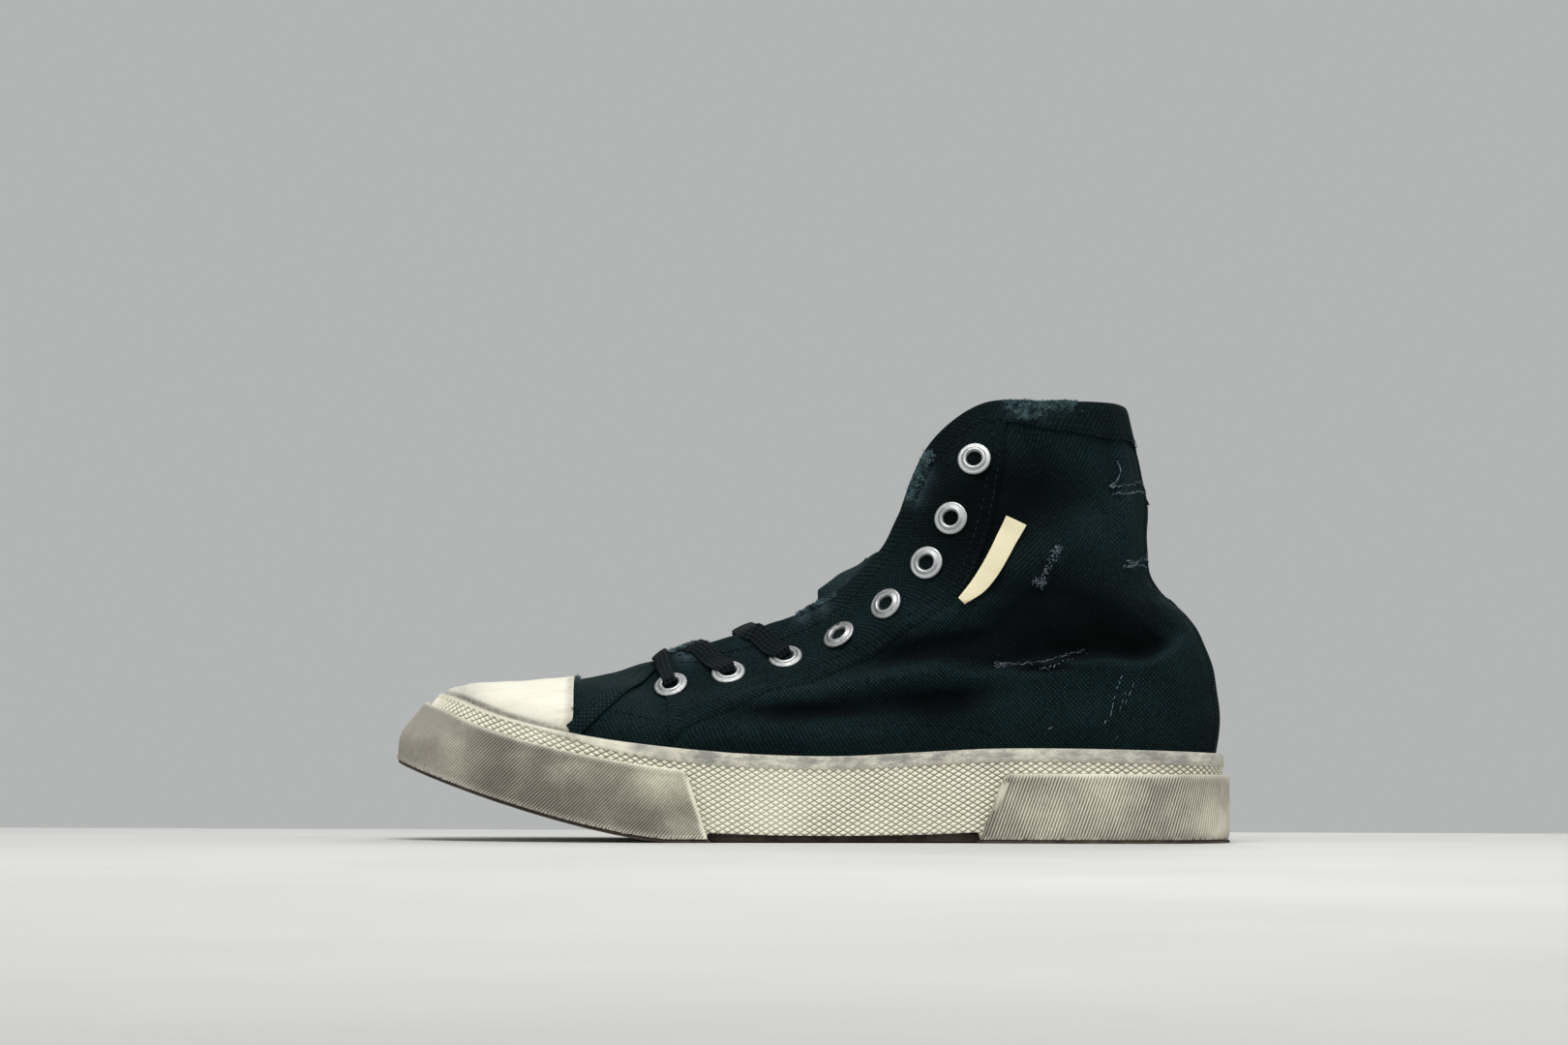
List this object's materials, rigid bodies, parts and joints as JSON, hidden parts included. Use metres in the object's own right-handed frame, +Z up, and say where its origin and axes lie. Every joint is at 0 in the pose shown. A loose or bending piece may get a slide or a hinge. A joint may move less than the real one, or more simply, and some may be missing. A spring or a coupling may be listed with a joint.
{
  "type": "canvas high-top sneaker, worn, left shoe",
  "caption": "Worn black canvas high-top sneaker with a cream rubber cup sole, ribbed toe and heel bumpers, rubber toe cap, metal eyelets and frayed, torn cloth",
  "frame": {"origin": "on the floor, under the middle of the shoe's bounding box", "axes": "X from the toe to the heel, -Y the outer side of the foot, Z up"},
  "size_m": [0.302, 0.1056, 0.1581],
  "materials": {
    "dark_rubber": "matte, dark brown",
    "cream_rubber": "matte cream, diamond knurl, grey dirt along the top",
    "dirty_rubber": "ribbed cream with grey-brown dirt",
    "cap_rubber": "smooth cream with grey scuffs",
    "black_canvas": "plain weave, faded, frayed and torn",
    "lining_cloth": "plain woven lining",
    "lace_braid": "flat braid",
    "cream_ribbon": "plain woven ribbon",
    "satin_metal": "satin, lightly scratched"
  },
  "bodies": {
    "root": {"outsole": "dark_rubber", "sole_wall": "cream_rubber", "toe_bumper": "dirty_rubber", "heel_bumper": "dirty_rubber", "insole": "lining_cloth", "upper": "black_canvas", "toe_cap": "cap_rubber", "tongue": "black_canvas", "lace_crossings": "lace_braid", "side_strip": "cream_ribbon", "eyelet_outer_1": "satin_metal", "eyelet_outer_2": "satin_metal", "eyelet_outer_3": "satin_metal", "eyelet_outer_4": "satin_metal", "eyelet_outer_5": "satin_metal", "eyelet_outer_6": "satin_metal", "eyelet_outer_7": "satin_metal", "eyelet_outer_8": "satin_metal", "eyelet_inner_1": "satin_metal", "eyelet_inner_2": "satin_metal", "eyelet_inner_3": "satin_metal", "eyelet_inner_4": "satin_metal", "eyelet_inner_5": "satin_metal", "eyelet_inner_6": "satin_metal", "eyelet_inner_7": "satin_metal", "eyelet_inner_8": "satin_metal"}
  },
  "joints": []
}
